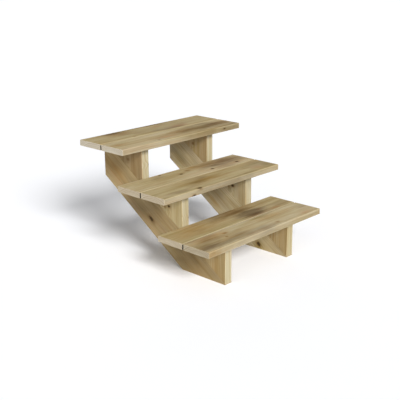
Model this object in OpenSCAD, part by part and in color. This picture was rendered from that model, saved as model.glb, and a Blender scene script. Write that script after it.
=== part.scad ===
// Outdoor wooden stair of three open steps, in pressure treated pine.
// Each stringer is built up: one slanting board, and three triangular step blocks whose grain
// stands upright, seated on the board's upper edge. Each tread is two planed boards laid side
// by side with a gap for rain water. The stringers' plumb cut backs go flat against the deck.
// Frame: +X along the treads to the right, +Y back towards the deck, +Z up. The origin is the
// middle of the left stringer's plumb cut back face.

/* [Steps] */
// Height from one tread to the next
rise = 176.5; // [150:0.5:210]
// Distance from one step block's face to the next, measured level
going = 262; // [215:1:300]

/* [Treads] */
// Length of the tread boards, the stair's width
tread_length = 800; // [600:10:1200]
// Width of one tread board
board_width = 151; // [125:1:183]
// Thickness of the tread boards
board_thickness = 28; // [22:1:45]
// Gap between a tread's front and back boards
board_gap = 5; // [3:0.5:12]
// Clearance between a tread's back edge and the step block behind it
back_clearance = 1; // [1:0.5:10]
// Radius planed on the boards' long edges
edge_radius = 3; // [1:0.5:6]

/* [Stringers] */
// Thickness of the stringer boards and of the step blocks
stringer_thickness = 44; // [36:1:60]
// Width of the stringer board, square to its length
stringer_width = 154; // [125:1:200]
// Height of the small plumb cut at the stringer's foot
toe_height = 6; // [2:1:25]
// How far the treads run past each stringer's outer face
tread_overhang = 154; // [50:1:250]
// How far the stringer boards run on behind the top step blocks, to the deck
back_extension = 9; // [2:1:25]

/* [Colours] */
// Weathered top of the tread boards
tread_colour = [0.66, 0.58, 0.41]; // [0:0.01:1]
// Paler upright grain of the step blocks
block_colour = [0.78, 0.71, 0.54]; // [0:0.01:1]
// Browner slanting boards
stringer_colour = [0.56, 0.48, 0.34]; // [0:0.01:1]

/* [Hidden] */
// Every node of the part
// Node to draw, or all of them
// Steps in the stair
step_count = 3;
// Slope of the stringer board
pitch = atan(rise / going);
// The stringer board's width measured plumb
plumb_width = stringer_width / cos(pitch);
// Level length of a stringer, from the first step block's face to the deck
run = step_count * going + back_extension;
// Height of the stringers' level tops, under the top tread
stringer_top = toe_height + step_count * rise;
// Height of the stringer boards' lower corners at the deck
heel = toe_height + run * rise / going - plumb_width;
// Depth of a whole tread, front edge to back edge
tread_depth = 2 * board_width + board_gap;
// Front edge of a tread, measured from the face of its own step block
nosing = tread_depth + back_clearance - going;
// From the ground under the left end of the treads to the stair's origin
origin_x = tread_overhang + stringer_thickness / 2;
origin_y = run;
origin_z = (stringer_top + heel) / 2;
// Spare length on a blank before it is cut
spare = 20;
// Sides that round an edge
edge_sides = 32;

// Lays out what follows from the ground under the treads' left ends
module from_ground() {
    translate([-origin_x, -origin_y, -origin_z]) children();
}

// Section of a planed board, with rounded corners all round
module planed_section(w, h) {
    translate([edge_radius, 0]) square([w - 2 * edge_radius, h]);
    translate([0, edge_radius]) square([w, h - 2 * edge_radius]);
    for (x = [edge_radius, w - edge_radius])
        for (y = [edge_radius, h - edge_radius])
            translate([x, y]) circle(r = edge_radius, $fn = edge_sides);
}

// Section of a board's front edge, with only its two front corners rounded
module front_edge_section(w, h) {
    translate([edge_radius, 0]) square([w - 2 * edge_radius, h]);
    translate([0, edge_radius]) square([w, h - edge_radius]);
    for (x = [edge_radius, w - edge_radius])
        translate([x, edge_radius]) circle(r = edge_radius, $fn = edge_sides);
}

// One tread board, with its front lower left corner at the given place
module tread_board(y, z) {
    translate([0, y, z])
        rotate([90, 0, 90])
            linear_extrude(height = tread_length) planed_section(board_width, board_thickness);
}

// Front board of a tread, counted from the ground
module front_board(step) {
    from_ground()
        tread_board((step - 1) * going - nosing, toe_height + step * rise);
}

// Back board of a tread, a gap behind the front one
module back_board(step) {
    from_ground()
        tread_board((step - 1) * going - nosing + board_width + board_gap,
                    toe_height + step * rise);
}

// Slanting board: cut plumb at the toe and at the deck, and level at the ground and at the top
module stringer_board(x) {
    from_ground() translate([x, 0, 0])
        intersection() {
            translate([0, 0, toe_height])
                rotate([pitch - 90, 0, 0])
                    translate([0, 0, -spare])
                        linear_extrude(height = run / cos(pitch) + plumb_width + spare)
                            planed_section(stringer_thickness, stringer_width);
            translate([-spare, 0, 0])
                cube([stringer_thickness + 2 * spare, run, stringer_top]);
        }
}

// Triangular step block: plumb face, level top, and a slanting cut that sits on the board
module step_block(x, step) {
    from_ground()
        translate([x, (step - 1) * going, toe_height + (step - 1) * rise])
            intersection() {
                translate([0, 0, -spare])
                    linear_extrude(height = rise + 2 * spare)
                        front_edge_section(stringer_thickness, going + spare);
                translate([-spare, 0, 0])
                    rotate([90, 0, 90])
                        linear_extrude(height = stringer_thickness + 2 * spare)
                            polygon([[-spare, -spare * rise / going], [going, rise],
                                     [-spare, rise]]);
            }
}

// Outer faces of the two stringers, from the treads' left end
left_x = tread_overhang;
right_x = tread_length - tread_overhang - stringer_thickness;

module left_stringer_board() color(stringer_colour) stringer_board(left_x);
module left_step_block_1() color(block_colour) step_block(left_x, 1);
module left_step_block_2() color(block_colour) step_block(left_x, 2);
module left_step_block_3() color(block_colour) step_block(left_x, 3);
module right_stringer_board() color(stringer_colour) stringer_board(right_x);
module right_step_block_1() color(block_colour) step_block(right_x, 1);
module right_step_block_2() color(block_colour) step_block(right_x, 2);
module right_step_block_3() color(block_colour) step_block(right_x, 3);
module tread_1_front_board() color(tread_colour) front_board(1);
module tread_1_back_board() color(tread_colour) back_board(1);
module tread_2_front_board() color(tread_colour) front_board(2);
module tread_2_back_board() color(tread_colour) back_board(2);
module tread_3_front_board() color(tread_colour) front_board(3);
module tread_3_back_board() color(tread_colour) back_board(3);

left_stringer_board();
left_step_block_1();
left_step_block_2();
left_step_block_3();
right_stringer_board();
right_step_block_1();
right_step_block_2();
right_step_block_3();
tread_1_front_board();
tread_1_back_board();
tread_2_front_board();
tread_2_back_board();
tread_3_front_board();
tread_3_back_board();
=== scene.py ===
import math

import bpy
from mathutils import Matrix, Vector


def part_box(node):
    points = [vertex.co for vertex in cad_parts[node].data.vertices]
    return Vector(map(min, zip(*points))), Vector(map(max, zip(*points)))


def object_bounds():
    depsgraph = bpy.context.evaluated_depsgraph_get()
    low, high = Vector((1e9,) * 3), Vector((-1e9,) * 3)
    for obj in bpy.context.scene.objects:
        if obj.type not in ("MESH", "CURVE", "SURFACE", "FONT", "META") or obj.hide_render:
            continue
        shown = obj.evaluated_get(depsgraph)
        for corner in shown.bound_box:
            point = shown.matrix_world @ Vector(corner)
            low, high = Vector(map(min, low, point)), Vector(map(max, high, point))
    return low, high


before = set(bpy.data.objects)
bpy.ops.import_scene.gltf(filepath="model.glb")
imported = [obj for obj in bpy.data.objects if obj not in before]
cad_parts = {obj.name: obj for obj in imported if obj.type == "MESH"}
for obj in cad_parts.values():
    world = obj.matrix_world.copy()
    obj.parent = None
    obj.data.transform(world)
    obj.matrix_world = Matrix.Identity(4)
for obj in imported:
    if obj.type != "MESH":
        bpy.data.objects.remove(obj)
CAD_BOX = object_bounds()

MM = 0.001


# ---------------------------------------------------------------- small tools

def colour(code):
    """A linear colour from its sRGB hex code."""
    channels = [int(code[i:i + 2], 16) / 255 for i in (1, 3, 5)]
    linear = [c / 12.92 if c <= 0.04045 else ((c + 0.055) / 1.055) ** 2.4 for c in channels]
    return (*linear, 1.0)


def add(tree, kind, inputs=None, **settings):
    """Adds a node with its settings and links, and gives back its outputs."""
    node = tree.nodes.new(kind)
    for name, value in settings.items():
        setattr(node, name, value)
    for key, value in (inputs or {}).items():
        if isinstance(value, bpy.types.NodeSocket):
            tree.links.new(value, node.inputs[key])
        else:
            node.inputs[key].default_value = value
    return node.outputs


def new_group(name, inputs, outputs):
    """An empty node group with its sockets, and the outputs of its input node."""
    group = bpy.data.node_groups.new(name, "ShaderNodeTree")
    for label, kind, default in inputs:
        socket = group.interface.new_socket(label, in_out="INPUT", socket_type=kind)
        socket.default_value = default
    for label in outputs:
        group.interface.new_socket(label, in_out="OUTPUT", socket_type=FLOAT)
    return group, add(group, "NodeGroupInput")


FLOAT, VECTOR = "NodeSocketFloat", "NodeSocketVector"
# A Mix node's two colours and its result, when it mixes colours.
FIRST, SECOND, MIXED = 6, 7, 2


# ------------------------------------------------------------- wood patterns
# They work in a board's own frame, in metres: X along the grain, Y across the
# board's width and Z through its thickness.

# Round a knot, in its own radii: where its heart fades out, where its halo fades out, and how
# far it pushes the rings aside. Its outline is uneven by the wobble.
HEART_FADE, HALO_FADE, KNOT_PUSH, KNOT_WOBBLE = (1.0, 1.7), (1.2, 2.9), 1.6, 0.8
# The grain bends round a knot 2.5 times as far along the board as across it. Across the board,
# the bend is nearly gone 3 radii away.
BEND_STRETCH, BEND_FALL = 0.4, -0.35


def make_knot():
    """One knot: how far it pushes the growth rings aside, its dark heart and its brown halo.

    It runs through the board from face to face, unless it is shallow.
    """
    group, given = new_group("knot", [
        ("Place", VECTOR, (0, 0, 0)), ("Centre", VECTOR, (0, 0, 0)), ("Radius", FLOAT, 0.008),
        ("Length", FLOAT, 1.3), ("Shallow", FLOAT, 0.0)], ["Push", "Heart", "Halo"])
    offset = add(group, "ShaderNodeVectorMath", {0: given["Place"], 1: given["Centre"]},
                 operation="SUBTRACT")[0]
    offset = add(group, "ShaderNodeSeparateXYZ", {0: offset})
    along = add(group, "ShaderNodeMath", {0: offset["X"], 1: given["Length"]}, operation="DIVIDE")[0]
    deep = add(group, "ShaderNodeMath", {0: offset["Z"], 1: given["Shallow"]},
               operation="MULTIPLY")[0]
    flat = add(group, "ShaderNodeCombineXYZ", {"X": along, "Y": offset["Y"], "Z": deep})[0]
    distance = add(group, "ShaderNodeVectorMath", {0: flat}, operation="LENGTH")["Value"]
    radii = add(group, "ShaderNodeMath", {0: distance, 1: given["Radius"]}, operation="DIVIDE")[0]
    wobble = add(group, "ShaderNodeTexNoise", {"Vector": given["Place"], "Scale": 90.0,
                                               "Detail": 2.0})[0]
    uneven = add(group, "ShaderNodeMath", {0: wobble, 1: KNOT_WOBBLE, 2: radii}, operation="MULTIPLY_ADD")[0]
    heart = add(group, "ShaderNodeMapRange", {"Value": uneven, "From Min": HEART_FADE[0],
                                              "From Max": HEART_FADE[1],
                                              "To Min": 1.0, "To Max": 0.0},
                interpolation_type="SMOOTHSTEP")[0]
    halo = add(group, "ShaderNodeMapRange", {"Value": uneven, "From Min": HALO_FADE[0],
                                             "From Max": HALO_FADE[1],
                                             "To Min": 1.0, "To Max": 0.0},
               interpolation_type="SMOOTHSTEP")[0]
    before = add(group, "ShaderNodeMath", {0: along, 1: BEND_STRETCH}, operation="MULTIPLY")[0]
    reach = add(group, "ShaderNodeCombineXYZ", {"X": before, "Y": offset["Y"]})[0]
    reach = add(group, "ShaderNodeVectorMath", {0: reach}, operation="LENGTH")["Value"]
    reach = add(group, "ShaderNodeMath", {0: reach, 1: given["Radius"]}, operation="DIVIDE")[0]
    reach = add(group, "ShaderNodeMath", {0: reach, 1: 2.0}, operation="POWER")[0]
    reach = add(group, "ShaderNodeMath", {0: reach, 1: BEND_FALL}, operation="MULTIPLY")[0]
    reach = add(group, "ShaderNodeMath", {0: reach}, operation="EXPONENT")[0]
    push = add(group, "ShaderNodeMath", {0: reach, 1: given["Radius"]}, operation="MULTIPLY")[0]
    push = add(group, "ShaderNodeMath", {0: push, 1: KNOT_PUSH}, operation="MULTIPLY")[0]
    add(group, "NodeGroupOutput", {"Push": push, "Heart": heart, "Halo": halo})
    return group


# A stain's ragged outline repeats every 110 mm along the grain and every 17 mm across it.
STAIN_REPEATS, STAIN_RAGGED = (9, 60, 9), 1.2


def make_stain():
    """A long patch with ragged ends drawn out along the grain, strongest at its centre."""
    group, given = new_group("stain", [
        ("Place", VECTOR, (0, 0, 0)), ("Centre", VECTOR, (0, 0, 0)),
        ("Size", VECTOR, (1, 1, 1))], ["Patch"])
    offset = add(group, "ShaderNodeVectorMath", {0: given["Place"], 1: given["Centre"]},
                 operation="SUBTRACT")[0]
    offset = add(group, "ShaderNodeVectorMath", {0: offset, 1: given["Size"]}, operation="DIVIDE")[0]
    offset = add(group, "ShaderNodeVectorMath", {0: offset, 1: (1, 1, 0)}, operation="MULTIPLY")[0]
    distance = add(group, "ShaderNodeVectorMath", {0: offset}, operation="LENGTH")["Value"]
    long = add(group, "ShaderNodeVectorMath", {0: given["Place"], 1: STAIN_REPEATS},
               operation="MULTIPLY")[0]
    ragged = add(group, "ShaderNodeTexNoise", {"Vector": long, "Scale": 1.0, "Detail": 4.0,
                                               "Roughness": 0.6})[0]
    ragged = add(group, "ShaderNodeMath", {0: ragged, 1: 0.5}, operation="SUBTRACT")[0]
    edge = add(group, "ShaderNodeMath", {0: ragged, 1: STAIN_RAGGED, 2: distance},
               operation="MULTIPLY_ADD")[0]
    patch = add(group, "ShaderNodeMapRange", {"Value": edge, "From Min": 0.0, "From Max": 1.1,
                                              "To Min": 1.0, "To Max": 0.0},
                interpolation_type="SMOOTHSTEP")[0]
    add(group, "NodeGroupOutput", {"Patch": patch})
    return group


# The pale painted highlight along an arris stands for the light that its rounding catches, really 2 to 3 mm
# wide. It is drawn 6 mm wide, so that it shows.
HIGHLIGHT_WIDTH = 6 * MM


def make_arris():
    """How near a point is to an arris, from 0 to 1 at the arris itself.

    A point is near an arris where it is near two of the board's six faces at once. The mask places the pale
    painted highlight on the arrises.
    """
    group, given = new_group("arris", [
        ("Place", VECTOR, (0, 0, 0)), ("Low", VECTOR, (0, 0, 0)), ("High", VECTOR, (1, 1, 1)),
        ("Width", FLOAT, HIGHLIGHT_WIDTH)], ["Highlight"])
    above = add(group, "ShaderNodeVectorMath", {0: given["Place"], 1: given["Low"]},
                operation="SUBTRACT")[0]
    below = add(group, "ShaderNodeVectorMath", {0: given["High"], 1: given["Place"]},
                operation="SUBTRACT")[0]
    near = add(group, "ShaderNodeVectorMath", {0: above, 1: below}, operation="MINIMUM")[0]
    near = add(group, "ShaderNodeSeparateXYZ", {0: near})
    pairs = [add(group, "ShaderNodeMath", {0: near[first], 1: near[second]},
                 operation="MAXIMUM")[0] for first, second in ("XY", "YZ", "ZX")]
    nearest = add(group, "ShaderNodeMath", {0: pairs[0], 1: pairs[1]}, operation="MINIMUM")[0]
    nearest = add(group, "ShaderNodeMath", {0: nearest, 1: pairs[2]}, operation="MINIMUM")[0]
    highlight = add(group, "ShaderNodeMapRange", {"Value": nearest, "From Max": given["Width"],
                                             "To Min": 1.0, "To Max": 0.0})[0]
    add(group, "NodeGroupOutput", {"Highlight": highlight})
    return group


# Each kind of mark, how many times a metre it repeats along, across and through the board, and
# how many finer layers it has. A mark is about half as wide as it repeats: streaks 11 mm, bands
# 33 mm and patches 55 mm. The fibres are really under 0.1 mm wide. They are drawn 2 mm wide, so
# that they show.
GRAIN_NOISE = (("Streaks", (2.6, 45, 45), 4.0), ("Bands", (1.8, 15, 15), 3.0),
               ("Fibres", (9, 240, 240), 3.0), ("Patches", (4, 9, 9), 2.0))


# Fast grown pine has rings about 6 mm apart. Its pith wanders up to 15 mm either way, slowly
# along the trunk. Good and bad years come and go over about three rings.
RING_SPACING, PITH_WANDER, GROWTH_REPEATS, GROWTH_SHIFT = 6 * MM, 30 * MM, 0.37, 1.5
# In one ring, from 0 to 1: where late wood begins, where it is darkest, and where it starts to
# give way to the next spring's pale wood.
LATE_START, LATE_FULL, LATE_DROP = 0.15, 0.85, 0.88


def make_rings():
    """Growth rings about the pith, with streaks, fibres and patches, as masks from 0 to 1."""
    group, given = new_group("growth rings", [
        ("Place", VECTOR, (0, 0, 0)), ("Pith", VECTOR, (0, 0, 0)), ("Spacing", FLOAT, RING_SPACING),
        ("Push", FLOAT, 0.0), ("Seed", VECTOR, (0, 0, 0))],
        ["Late wood", "Streaks", "Bands", "Fibres", "Patches"])
    own = add(group, "ShaderNodeVectorMath", {0: given["Place"], 1: given["Seed"]},
              operation="ADD")[0]
    slow = add(group, "ShaderNodeVectorMath", {0: own, 1: (1.1, 6, 6)}, operation="MULTIPLY")[0]
    bend = add(group, "ShaderNodeTexNoise", {"Vector": slow, "Scale": 1.0, "Detail": 2.0,
                                             "Roughness": 0.4})["Color"]
    bend = add(group, "ShaderNodeVectorMath", {0: bend, 1: (0.5, 0.5, 0.5)},
               operation="SUBTRACT")[0]
    radial = add(group, "ShaderNodeVectorMath", {0: given["Place"], 1: given["Pith"]},
                 operation="SUBTRACT")[0]
    radial = add(group, "ShaderNodeVectorMath", {0: bend, 1: (0, PITH_WANDER, PITH_WANDER), 2: radial},
                 operation="MULTIPLY_ADD")[0]
    radial = add(group, "ShaderNodeVectorMath", {0: radial, 1: (0, 1, 1)}, operation="MULTIPLY")[0]
    radius = add(group, "ShaderNodeVectorMath", {0: radial}, operation="LENGTH")["Value"]
    radius = add(group, "ShaderNodeMath", {0: radius, 1: given["Push"]}, operation="ADD")[0]
    years = add(group, "ShaderNodeMath", {0: radius, 1: given["Spacing"]}, operation="DIVIDE")[0]
    # Good and bad years make rings of uneven width and darkness.
    growth = add(group, "ShaderNodeTexNoise", {"W": years, "Scale": GROWTH_REPEATS,
                                               "Detail": 1.0}, noise_dimensions="1D")[0]
    years = add(group, "ShaderNodeMath", {0: growth, 1: GROWTH_SHIFT, 2: years},
                operation="MULTIPLY_ADD")[0]
    season = add(group, "ShaderNodeMath", {0: years}, operation="FRACT")[0]
    rise = add(group, "ShaderNodeMapRange", {"Value": season, "From Min": LATE_START,
                                              "From Max": LATE_FULL},
               interpolation_type="SMOOTHSTEP")[0]
    drop = add(group, "ShaderNodeMapRange", {"Value": season, "From Min": LATE_DROP, "From Max": 1.0,
                                             "To Min": 1.0, "To Max": 0.0},
               interpolation_type="SMOOTHSTEP")[0]
    late = add(group, "ShaderNodeMath", {0: rise, 1: drop}, operation="MULTIPLY")[0]
    strong = add(group, "ShaderNodeMapRange", {"Value": growth, "From Min": 0.3, "From Max": 0.7,
                                               "To Min": 0.25, "To Max": 1.0})[0]
    late = add(group, "ShaderNodeMath", {0: late, 1: strong}, operation="MULTIPLY")[0]
    marks = {"Late wood": late}
    for label, repeats, detail in GRAIN_NOISE:
        stretched = add(group, "ShaderNodeVectorMath", {0: own, 1: repeats},
                        operation="MULTIPLY")[0]
        marks[label] = add(group, "ShaderNodeTexNoise", {
            "Vector": stretched, "Scale": 1.0, "Detail": detail, "Roughness": 0.55})[0]
    add(group, "NodeGroupOutput", marks)
    return group


KNOT, STAIN, ARRIS, RINGS = make_knot(), make_stain(), make_arris(), make_rings()

# Tones of the same pine, before its tints. Boards sawn from different logs differ about this
# much. Edges and sawn ends are greyer than faces, and the highest ends are bleached the most.
PINE = {"pale": "#b9ae8f", "straw": "#b0a480", "tan": "#a2916b", "brown": "#917f5d",
        "tread edge": "#988f77", "block edge": "#aaa48c", "stringer edge": "#a09372",
        "sawn end": "#b1a58e", "bleached end": "#bab2a0", "dull end": "#a59a82"}

# Tints that darken or warm the pale sapwood, each multiplied over it. Late wood is the denser,
# darker part of a ring. The copper salts turn the wood olive, and sun and rain turn it grey.
LATE_WOOD = colour("#d9c7a6")
TINTS = {"olive": colour("#cfc794"), "brown": colour("#b39a7c"), "grey": colour("#a49c96"),
         "rose": colour("#ffe2d6"), "amber": colour("#e3c489")}
# Where each kind of mark starts to tint the wood, and where it tints it most.
WEATHER = (("Streaks", "olive", 0.45, 0.7), ("Bands", "amber", 0.45, 0.75),
           ("Bands", "rose", 0.5, 0.28), ("Patches", "grey", 0.5, 0.75),
           ("Fibres", "amber", 0.45, 0.75))
# Painted shade darkens a board's edge inside a tread's gap, standing for the shade there. It starts
# below the rounded arris, at these heights over the board's underside, in millimetres.
GAP_SHADE, GAP_SHADE_START, GAP_SHADE_FULL = colour("#241f19"), 25.5, 23
KNOT_HEART = colour("#3a2a08")
KNOT_HALO = colour("#c09a58")
# The pale colour of the painted highlight on the arrises, where their rounding catches the light.
ARRIS_HIGHLIGHT = colour("#dccfab")
# How much of the painted highlight an arris takes, and how much weather an edge takes beside a face.
HIGHLIGHT_SHARE, EDGE_WEATHER = 0.2, 0.8
# How strongly late wood shows on a sawn end.
END_CONTRAST = 0.8
# Late wood is denser than early wood, so it planes a little smoother.
EARLY_ROUGH, LATE_ROUGH = 0.82, 0.68
# How deep the late wood stands, and how deep the fibres are beside it.
GRAIN_DEPTH, FIBRE_SHARE = 0.4 * MM, 0.5
# A board's number, times these, moves it to a place of its own in the random patterns.
SEED_STEP = Vector((1.37, 2.71, 0.83))
# How strong a knot's heart and halo are. A dead knot is nearly black, with little round it. A
# live one has grown into the board, and is only browner than the wood.
KNOT_KINDS = {"dead": (1.0, 0.5), "live": (0.15, 0.55)}


def lay(tree, wood, mask, tint, start, end, strength):
    """Multiplies a tint over the wood where the mask runs from start to end."""
    amount = add(tree, "ShaderNodeMapRange", {"Value": mask, "From Min": start, "From Max": end,
                                              "To Max": strength})[0]
    return add(tree, "ShaderNodeMix", {0: amount, FIRST: wood, SECOND: tint},
               data_type="RGBA", blend_type="MULTIPLY")[MIXED]


def treated_pine(name, origin, grain, width, low, high, pith, seed, face, edge, end, contrast,
                 weathering, shaded_gap=None, knots=(), stains=()):
    """One board of pressure treated pine, planed and then weathered.

    Planed sapwood is matt and pale, with soft darker lines of late wood. The treatment leaves
    it faintly olive, in uneven streaks. The weather dulls the wide faces most, and the arrises
    carry a pale painted highlight, where their rounding catches the light. A tread board's edge
    inside the gap gets painted shade. origin is the board's corner, grain and width are its
    directions, and the faces whose arrises carry the painted highlight lie from low to high, in
    millimetres. contrast is how strongly late wood shows.
    """
    depth = grain.cross(width)
    turn = Matrix((grain, width, depth)).transposed().to_euler("XYZ")
    material = bpy.data.materials.new(name)
    material.use_nodes = True
    tree = material.node_tree
    tree.nodes.clear()
    coordinates = add(tree, "ShaderNodeTexCoord")
    place = add(tree, "ShaderNodeMapping", {"Vector": coordinates["Object"], "Location": origin,
                                            "Rotation": turn}, vector_type="TEXTURE")[0]
    facing = add(tree, "ShaderNodeMapping", {"Vector": coordinates["Normal"], "Rotation": turn},
                 vector_type="TEXTURE")[0]
    facing = add(tree, "ShaderNodeVectorMath", {0: facing}, operation="ABSOLUTE")[0]
    facing = add(tree, "ShaderNodeSeparateXYZ", {0: facing})

    push = heart = halo = add(tree, "ShaderNodeValue")[0]
    for kind, along, across, radius, length, *depths in knots:
        deep = depths[0] if depths else 0
        knot = add(tree, "ShaderNodeGroup", {
            "Place": place, "Centre": (along * MM, across * MM, deep * MM),
            "Radius": radius * MM, "Length": length, "Shallow": len(depths)}, node_tree=KNOT)
        push = add(tree, "ShaderNodeMath", {0: push, 1: knot["Push"]}, operation="ADD")[0]
        heart_strength, halo_strength = KNOT_KINDS[kind]
        dark = add(tree, "ShaderNodeMath", {0: knot["Heart"], 1: heart_strength},
                   operation="MULTIPLY")[0]
        heart = add(tree, "ShaderNodeMath", {0: heart, 1: dark}, operation="MAXIMUM")[0]
        brown = add(tree, "ShaderNodeMath", {0: knot["Halo"], 1: halo_strength},
                    operation="MULTIPLY")[0]
        halo = add(tree, "ShaderNodeMath", {0: halo, 1: brown}, operation="MAXIMUM")[0]
    rings = add(tree, "ShaderNodeGroup", {
        "Place": place, "Pith": Vector(pith) * MM, "Push": push,
        "Seed": SEED_STEP * seed}, node_tree=RINGS)

    # The wide faces, the narrow edges and the sawn ends each have a colour of their own.
    wide = add(tree, "ShaderNodeMapRange", {"Value": facing["Z"], "From Min": 0.5,
                                            "From Max": 0.9})[0]
    wood = add(tree, "ShaderNodeMix", {0: wide, FIRST: colour(PINE[edge]),
                                       SECOND: colour(PINE[face])}, data_type="RGBA")[MIXED]
    wood = lay(tree, wood, rings["Late wood"], LATE_WOOD, 0, 1, contrast)
    weather = add(tree, "ShaderNodeMapRange", {"Value": wide, "To Min": EDGE_WEATHER * weathering,
                                               "To Max": weathering})[0]
    for label, kind, start, stop in WEATHER:
        wood = lay(tree, wood, rings[label], TINTS[kind], start, stop, weather)
    for kind, along, across, long, broad, strength in stains:
        patch = add(tree, "ShaderNodeGroup", {
            "Place": place, "Centre": (along * MM, across * MM, 0),
            "Size": (long * MM, broad * MM, 1)}, node_tree=STAIN)[0]
        wood = lay(tree, wood, patch, TINTS[kind], 0, 1, strength)
    sawn = add(tree, "ShaderNodeMapRange", {"Value": facing["X"], "From Min": 0.6,
                                            "From Max": 0.8})[0]
    ends = lay(tree, colour(PINE[end]), rings["Late wood"], TINTS["brown"], 0, 1, END_CONTRAST)
    wood = add(tree, "ShaderNodeMix", {0: sawn, FIRST: wood, SECOND: ends},
               data_type="RGBA")[MIXED]
    # A pale painted highlight on the arrises, where their rounding catches the light, uneven by the patches.
    arris = add(tree, "ShaderNodeGroup", {"Place": place, "Low": Vector(low) * MM,
                                          "High": Vector(high) * MM}, node_tree=ARRIS)[0]
    highlight = add(tree, "ShaderNodeMapRange", {"Value": rings["Patches"], "From Min": 0.3,
                                            "From Max": 0.6, "To Max": HIGHLIGHT_SHARE})[0]
    highlight = add(tree, "ShaderNodeMath", {0: arris, 1: highlight}, operation="MULTIPLY")[0]
    wood = add(tree, "ShaderNodeMix", {0: highlight, FIRST: wood, SECOND: ARRIS_HIGHLIGHT},
               data_type="RGBA")[MIXED]
    wood = lay(tree, wood, halo, KNOT_HALO, 0, 1, 1)
    wood = add(tree, "ShaderNodeMix", {0: heart, FIRST: wood, SECOND: KNOT_HEART},
               data_type="RGBA")[MIXED]
    # Painted shade on the board's edge inside the gap, below the rounded arris.
    if shaded_gap:
        place_parts = add(tree, "ShaderNodeSeparateXYZ", {0: place})
        gap_shade_mask = add(tree, "ShaderNodeMapRange", {"Value": place_parts["Y"],
                                                "From Min": shaded_gap[0] * MM,
                                                "From Max": shaded_gap[1] * MM})[0]
        for value, start, stop in ((place_parts["Z"], GAP_SHADE_START * MM, GAP_SHADE_FULL * MM),
                                   (facing["Z"], 0.8, 0.5)):
            part = add(tree, "ShaderNodeMapRange", {"Value": value, "From Min": start,
                                                    "From Max": stop})[0]
            gap_shade_mask = add(tree, "ShaderNodeMath", {0: gap_shade_mask, 1: part}, operation="MULTIPLY")[0]
        wood = lay(tree, wood, gap_shade_mask, GAP_SHADE, 0, 1, 1)

    relief = add(tree, "ShaderNodeMath", {0: rings["Fibres"], 1: FIBRE_SHARE,
                                           2: rings["Late wood"]},
                 operation="MULTIPLY_ADD")[0]
    bump = add(tree, "ShaderNodeBump", {"Height": relief, "Strength": 0.35,
                                        "Distance": GRAIN_DEPTH})[0]
    rough = add(tree, "ShaderNodeMapRange", {"Value": rings["Late wood"], "To Min": EARLY_ROUGH,
                                             "To Max": LATE_ROUGH})[0]
    shader = add(tree, "ShaderNodeBsdfPrincipled", {"Base Color": wood, "Roughness": rough,
                                                    "Normal": bump, "IOR": 1.5,
                                                    "Specular IOR Level": 0.25})[0]
    add(tree, "ShaderNodeOutputMaterial", {"Surface": shader})
    return material


# --------------------------------------------------------------- the boards

RIGHT, BACK, UP = Vector((1, 0, 0)), Vector((0, 1, 0)), Vector((0, 0, 1))


def coat(node, material):
    """Gives a CAD node its wood."""
    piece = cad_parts[node]
    piece.data.materials.clear()
    piece.data.materials.append(material)
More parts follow.
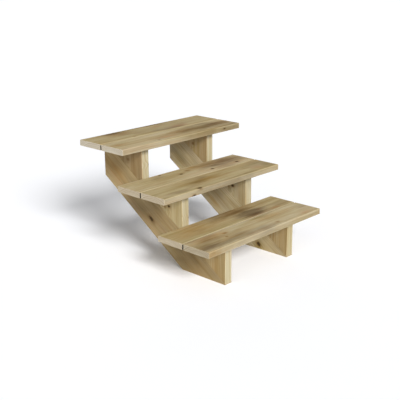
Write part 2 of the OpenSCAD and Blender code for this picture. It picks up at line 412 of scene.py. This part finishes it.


# Knots are (kind, along, across, radius, length over width[, depth]), and stains are (kind,
# along, across, half length, half width, strength), in millimetres from the board's corner. A
# stain with its centre outside the board, at a negative across, shows on the front edge.
# The gap entry is where the painted shade in the gap starts and is darkest, across the board, on its side of
# the gap.
FRONT_BOARD = dict(edge="tread edge", shaded_gap=(149, 150.3))
BACK_BOARD = dict(edge="tread edge", shaded_gap=(2, 0.7))
TREADS = {
    "tread_1_front_board": dict(
        FRONT_BOARD, face="pale", end="dull end", pith=(0, 60, -90),
        knots=[("live", 225, 112, 5, 1.8), ("live", 198, 76, 4, 1.5), ("live", 505, 32, 5, 1.8)],
        stains=[("brown", 30, 42, 120, 46, 0.4), ("grey", 60, 40, 180, 38, 0.6),
                ("amber", 110, 118, 170, 36, 0.7), ("amber", 560, 108, 160, 36, 0.6),
                ("grey", 230, 42, 200, 36, 0.5), ("amber", 225, 112, 45, 14, 0.5),
                ("olive", 499, 138, 90, 14, 0.7), ("rose", 711, 23, 60, 18, 0.8),
                ("amber", 0, -18, 170, 40, 0.9)]),
    "tread_1_back_board": dict(
        BACK_BOARD, face="straw", end="sawn end", pith=(0, 95, -75),
        # The brown patch 470 along and 115 across is painted shade along the back edge, under tread 2's
        # overhang.
        stains=[("amber", 170, 85, 230, 80, 0.6), ("brown", 470, 115, 270, 60, 0.9),
                ("grey", 530, 54, 160, 74, 0.9), ("brown", 525, 25, 100, 30, 0.7),
                ("rose", 590, 61, 25, 12, 0.8), ("rose", 672, 20, 50, 14, 0.8)]),
    "tread_2_front_board": dict(
        FRONT_BOARD, face="straw", end="sawn end", pith=(0, 70, -100),
        knots=[("dead", 230, 8, 8, 1.6, 28), ("dead", 187, 0, 6, 1.6, 2)],
        stains=[("olive", 310, 88, 260, 44, 0.45), ("grey", 121, 34, 90, 24, 0.5),
                ("amber", 350, 90, 220, 50, 0.7), ("rose", 690, 45, 60, 26, 0.8),
                ("olive", 764, 50, 40, 30, 0.6), ("olive", 634, 76, 60, 14, 0.5),
                ("grey", 370, -18, 280, 44, 0.5)]),
    "tread_2_back_board": dict(
        BACK_BOARD, face="pale", end="sawn end", pith=(0, 50, -85),
        knots=[("dead", 340, 77, 6, 1.6), ("live", 407, 102, 7, 1.6), ("dead", 515, 34, 6, 1.5),
               ("dead", 704, 37, 7, 1.5), ("dead", 251, 136, 5, 1.5)],
        stains=[("grey", 650, 105, 240, 80, 0.4), ("brown", 640, 95, 230, 70, 0.8),
                ("amber", 457, 126, 50, 14, 0.7), ("olive", 190, 60, 220, 70, 0.4)]),
    "tread_3_front_board": dict(
        FRONT_BOARD, face="pale", end="bleached end", pith=(0, 80, -85),
        knots=[("live", 254, 29, 4, 1.5), ("dead", 685, 0, 3, 2.2, 16)],
        stains=[("olive", 600, 78, 350, 66, 0.9), ("brown", 620, 76, 330, 62, 0.7),
                ("amber", 455, 85, 130, 26, 0.7), ("brown", 700, 88, 90, 22, 0.5),
                ("grey", 690, 42, 170, 48, 0.3), ("amber", 42, 83, 60, 20, 0.6),
                ("rose", 325, 50, 80, 20, 0.7), ("brown", 600, -20, 330, 46, 0.45),
                ("olive", 600, -20, 330, 46, 0.5)]),
    "tread_3_back_board": dict(
        BACK_BOARD, face="straw", end="bleached end", pith=(0, 40, -95),
        knots=[("live", 220, 9, 4, 1.5)],
        stains=[("olive", 400, 148, 480, 24, 0.9), ("brown", 172, 136, 60, 22, 0.7),
                ("brown", 460, 143, 130, 18, 0.7), ("amber", 210, 95, 130, 50, 0.5),
                ("rose", 443, 95, 45, 20, 0.8), ("rose", 545, 32, 90, 24, 0.9),
                ("grey", 400, 70, 520, 90, 0.2)]),
}
BLOCKS = {
    "left_step_block_1": dict(face="tan", pith=(0, 110, -20)),
    "left_step_block_2": dict(
        face="straw", pith=(0, 120, -25),
        knots=[("dead", 108, 85, 8, 0.7), ("live", 101, 112, 5, 0.8), ("dead", 64, 0, 3, 1.2, 1)]),
    "left_step_block_3": dict(
        face="brown", pith=(0, 100, -15),
        knots=[("live", 107, 98, 6, 0.8), ("live", 146, 157, 4, 0.8), ("dead", 92, 0, 3, 1.2, 1)]),
    "right_step_block_1": dict(face="tan", pith=(0, 110, -20)),
    "right_step_block_2": dict(
        face="pale", pith=(0, 120, -25),
        knots=[("dead", 109, 85, 9, 0.7), ("live", 102, 112, 5, 0.8)]),
    "right_step_block_3": dict(
        face="tan", pith=(0, 100, -15), knots=[("live", 107, 98, 6, 0.8)]),
}
STRINGERS = {
    "left_stringer_board": dict(
        face="tan", contrast=0.3, pith=(0, -60, -60), knots=[("dead", 497, -99, 8, 2.2)],
        stains=[("grey", 500, -80, 330, 110, 0.3), ("brown", 470, -60, 200, 70, 0.2),
                ("amber", 820, -70, 140, 60, 0.6)]),
    "right_stringer_board": dict(
        face="pale", contrast=0.65, pith=(0, -60, -60), knots=[("dead", 154, -82, 9, 1.4)],
        stains=[("olive", 140, -90, 60, 40, 0.9), ("amber", 500, -120, 90, 22, 0.6),
                ("olive", 800, -110, 90, 40, 0.5)]),
}
# A board's place in this list picks its own random grain.
BOARDS = [*TREADS, *BLOCKS, *STRINGERS]

for node, wood in TREADS.items():
    low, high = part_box(node)
    coat(node, treated_pine(f"treated_pine_{node}", low, RIGHT, BACK, low=(0, 0, 0),
                            high=(high - low) / MM, seed=BOARDS.index(node), contrast=0.4,
                            weathering=0.55, **wood))

# The far faces of a block and of a stringer are cut on a slant, so their arrises get no painted
# highlight: they are put this far off, in millimetres.
FAR = 5000
for node, wood in BLOCKS.items():
    low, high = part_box(node)
    corner = Vector((high.x, low.y, low.z))
    coat(node, treated_pine(f"treated_pine_{node}", corner, UP, BACK, low=(-FAR, 0, 0),
                            high=(FAR, FAR, (high.x - low.x) / MM), seed=BOARDS.index(node),
                            edge="block edge", end="dull end", contrast=0.7, weathering=0.5,
                            **wood))

# The stringer boards' width, in millimetres. They lie on a slope, so their boxes don't give it.
STRINGER_WIDTH = 154
block_low, block_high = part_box("left_step_block_1")
slope = Vector((0, block_high.y - block_low.y, block_high.z - block_low.z)).normalized()
for node, wood in STRINGERS.items():
    low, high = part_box(node)
    toe = Vector((low.x, low.y, block_low.z))
    coat(node, treated_pine(f"treated_pine_{node}", toe, slope, RIGHT.cross(slope),
                            low=(-FAR, -STRINGER_WIDTH, 0), high=(FAR, FAR, (high.x - low.x) / MM),
                            seed=BOARDS.index(node), edge="stringer edge", end="dull end",
                            weathering=0.5, **wood))


# ------------------------------------------------------ floor, light, camera

# Half the floor's side, in metres: its far edge is lost in the horizon.
FLOOR_HALF = 400
# The horizon is brightest up to the first angle and has faded to the sky's light at the second,
# in degrees above level.
HORIZON_GLOW, HORIZON_START, HORIZON_END = 1.05, 8, 20


def make_floor():
    """A plain pale floor at the height of the stair's feet."""
    half = FLOOR_HALF
    z = CAD_BOX[0].z
    mesh = bpy.data.meshes.new("floor")
    corners = [(x, y, z) for x, y in ((-half, -half), (half, -half), (half, half), (-half, half))]
    mesh.from_pydata(corners, [], [(0, 1, 2, 3)])
    floor = bpy.data.objects.new("floor", mesh)
    bpy.context.collection.objects.link(floor)
    paint = bpy.data.materials.new("white_floor")
    paint.use_nodes = True
    tree = paint.node_tree
    tree.nodes.clear()
    shader = add(tree, "ShaderNodeBsdfDiffuse", {"Color": colour("#fafbfe")})[0]
    add(tree, "ShaderNodeOutputMaterial", {"Surface": shader})
    mesh.materials.append(paint)


def direction(azimuth, elevation):
    """The way from the stair to a lamp or the camera; azimuth 0 is its front, 90 its right."""
    a, e = math.radians(azimuth), math.radians(elevation)
    return Vector((math.sin(a) * math.cos(e), -math.cos(a) * math.cos(e), math.sin(e)))


def make_lamp(name, azimuth, elevation, strength, spread):
    """A broad far lamp: it lights the whole floor evenly, and its shadows have soft edges."""
    lamp = bpy.data.lights.new(name, "SUN")
    lamp.energy = strength
    lamp.angle = math.radians(spread)
    holder = bpy.data.objects.new(name, lamp)
    holder.rotation_euler = direction(azimuth, elevation).to_track_quat("Z", "Y").to_euler()
    bpy.context.collection.objects.link(holder)


def make_surroundings(strength):
    """Even pale light from above, and a white horizon that the floor runs into."""
    world = bpy.data.worlds.new("white_room")
    world.use_nodes = True
    tree = world.node_tree
    tree.nodes.clear()
    way = add(tree, "ShaderNodeTexCoord")["Generated"]
    height = add(tree, "ShaderNodeSeparateXYZ", {0: way})["Z"]
    level = add(tree, "ShaderNodeMapRange", {
        "Value": height, "From Min": math.sin(math.radians(HORIZON_START)),
        "To Min": HORIZON_GLOW,
        "From Max": math.sin(math.radians(HORIZON_END)), "To Max": strength},
        interpolation_type="SMOOTHSTEP")[0]
    light = add(tree, "ShaderNodeBackground", {"Color": colour("#ffffff"), "Strength": level})[0]
    add(tree, "ShaderNodeOutputWorld", {"Surface": light})
    bpy.context.scene.world = world


def make_camera(azimuth, elevation, distance, roll, aim, lens):
    """The camera, aimed a little off the stair's middle."""
    camera = bpy.data.cameras.new("camera")
    camera.lens = lens
    camera.clip_end = 2000
    holder = bpy.data.objects.new("camera", camera)
    way = direction(azimuth, elevation)
    holder.location = CENTRE + Vector(aim) * MM + way * distance
    level = way.to_track_quat("Z", "Y").to_matrix()
    turned = level @ Matrix.Rotation(math.radians(roll), 3, "Z")
    holder.rotation_euler = turned.to_euler()
    bpy.context.collection.objects.link(holder)
    bpy.context.scene.camera = holder


CENTRE = (CAD_BOX[0] + CAD_BOX[1]) / 2
make_floor()
make_surroundings(0.215)
make_lamp("key_lamp", azimuth=-22, elevation=30.5, strength=4.35, spread=20)
make_lamp("left_lamp", azimuth=-60, elevation=40, strength=0.3, spread=40)
make_lamp("back_lamp", azimuth=150, elevation=15, strength=0.3, spread=40)
make_camera(azimuth=-46.6, elevation=17.6, distance=3.64, roll=-0.27, aim=(-9.1, -0.4, -21.7),
            lens=67.4)
bpy.context.scene.view_settings.view_transform = "Standard"
